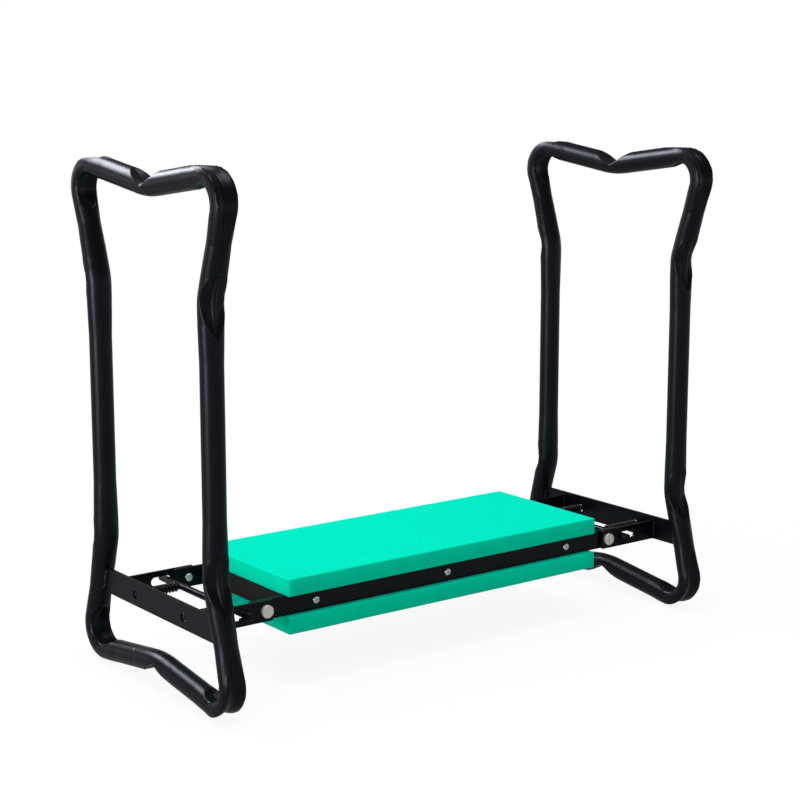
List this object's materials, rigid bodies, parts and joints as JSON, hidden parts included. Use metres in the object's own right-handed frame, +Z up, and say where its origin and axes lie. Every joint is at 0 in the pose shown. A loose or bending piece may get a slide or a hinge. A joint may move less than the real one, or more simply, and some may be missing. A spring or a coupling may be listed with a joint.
{
  "type": "folding garden stool",
  "caption": "Folding garden stool and kneeler: a foam-padded seat hung between two bent tube loops that fold flat over it, each held by a sprung lock rod.",
  "frame": {"origin": "on the floor, under the middle of the stool", "axes": "+X to the right along the seat, +Y to the rear, +Z up"},
  "size_m": [0.6, 0.28, 0.4985],
  "materials": {
    "black_coat": "satin black powder coat on steel",
    "spring_wire": "blackened spring wire",
    "zinc": "bright zinc plate",
    "bright_screw": "bright plated",
    "core_plastic": "black moulded polypropylene",
    "black_nylon": "black nylon",
    "green_foam": "closed-cell foam, finely embossed on its large faces"
  },
  "bodies": {
    "seat": {"seat_core": "core_plastic", "upper_pad": "green_foam", "lower_pad": "green_foam", "front_rail": "black_coat", "rear_rail": "black_coat", "front_rail_screws": "bright_screw", "rear_rail_screws": "bright_screw", "left_front_pivot": "zinc", "left_rear_pivot": "zinc", "right_front_pivot": "zinc", "right_rear_pivot": "zinc", "left_front_washer": "black_nylon", "left_rear_washer": "black_nylon", "right_front_washer": "black_nylon", "right_rear_washer": "black_nylon"},
    "left_frame": {"left_frame_tube": "black_coat", "left_cross_plate": "black_coat", "left_weld_beads": "black_coat", "left_front_arm": "black_coat", "left_rear_arm": "black_coat", "left_front_spring": "spring_wire", "left_rear_spring": "spring_wire"},
    "right_frame": {"right_frame_tube": "black_coat", "right_cross_plate": "black_coat", "right_weld_beads": "black_coat", "right_front_arm": "black_coat", "right_rear_arm": "black_coat", "right_front_spring": "spring_wire", "right_rear_spring": "spring_wire"},
    "left_latch": {"left_lock_rod": "black_coat"},
    "right_latch": {"right_lock_rod": "black_coat"}
  },
  "joints": [
    {"name": "left_fold", "type": "hinge", "parent": "seat", "child": "left_frame", "pos_m": [-0.218, 0, 0.0795], "axis": [0, 1, 0], "range_deg": [0, 93.3]},
    {"name": "right_fold", "type": "hinge", "parent": "seat", "child": "right_frame", "pos_m": [0.218, 0, 0.0795], "axis": [0, -1, 0], "range_deg": [0, 86.7]},
    {"name": "left_release", "type": "slide", "parent": "left_frame", "child": "left_latch", "axis": [-1, 0, 0], "range_m": [0, 0.0135], "stiffness_N_per_m": 1500, "springref_m": -0.006, "deforming": ["left_front_spring", "left_rear_spring"]},
    {"name": "right_release", "type": "slide", "parent": "right_frame", "child": "right_latch", "axis": [1, 0, 0], "range_m": [0, 0.0135], "stiffness_N_per_m": 1500, "springref_m": -0.006, "deforming": ["right_front_spring", "right_rear_spring"]}
  ]
}
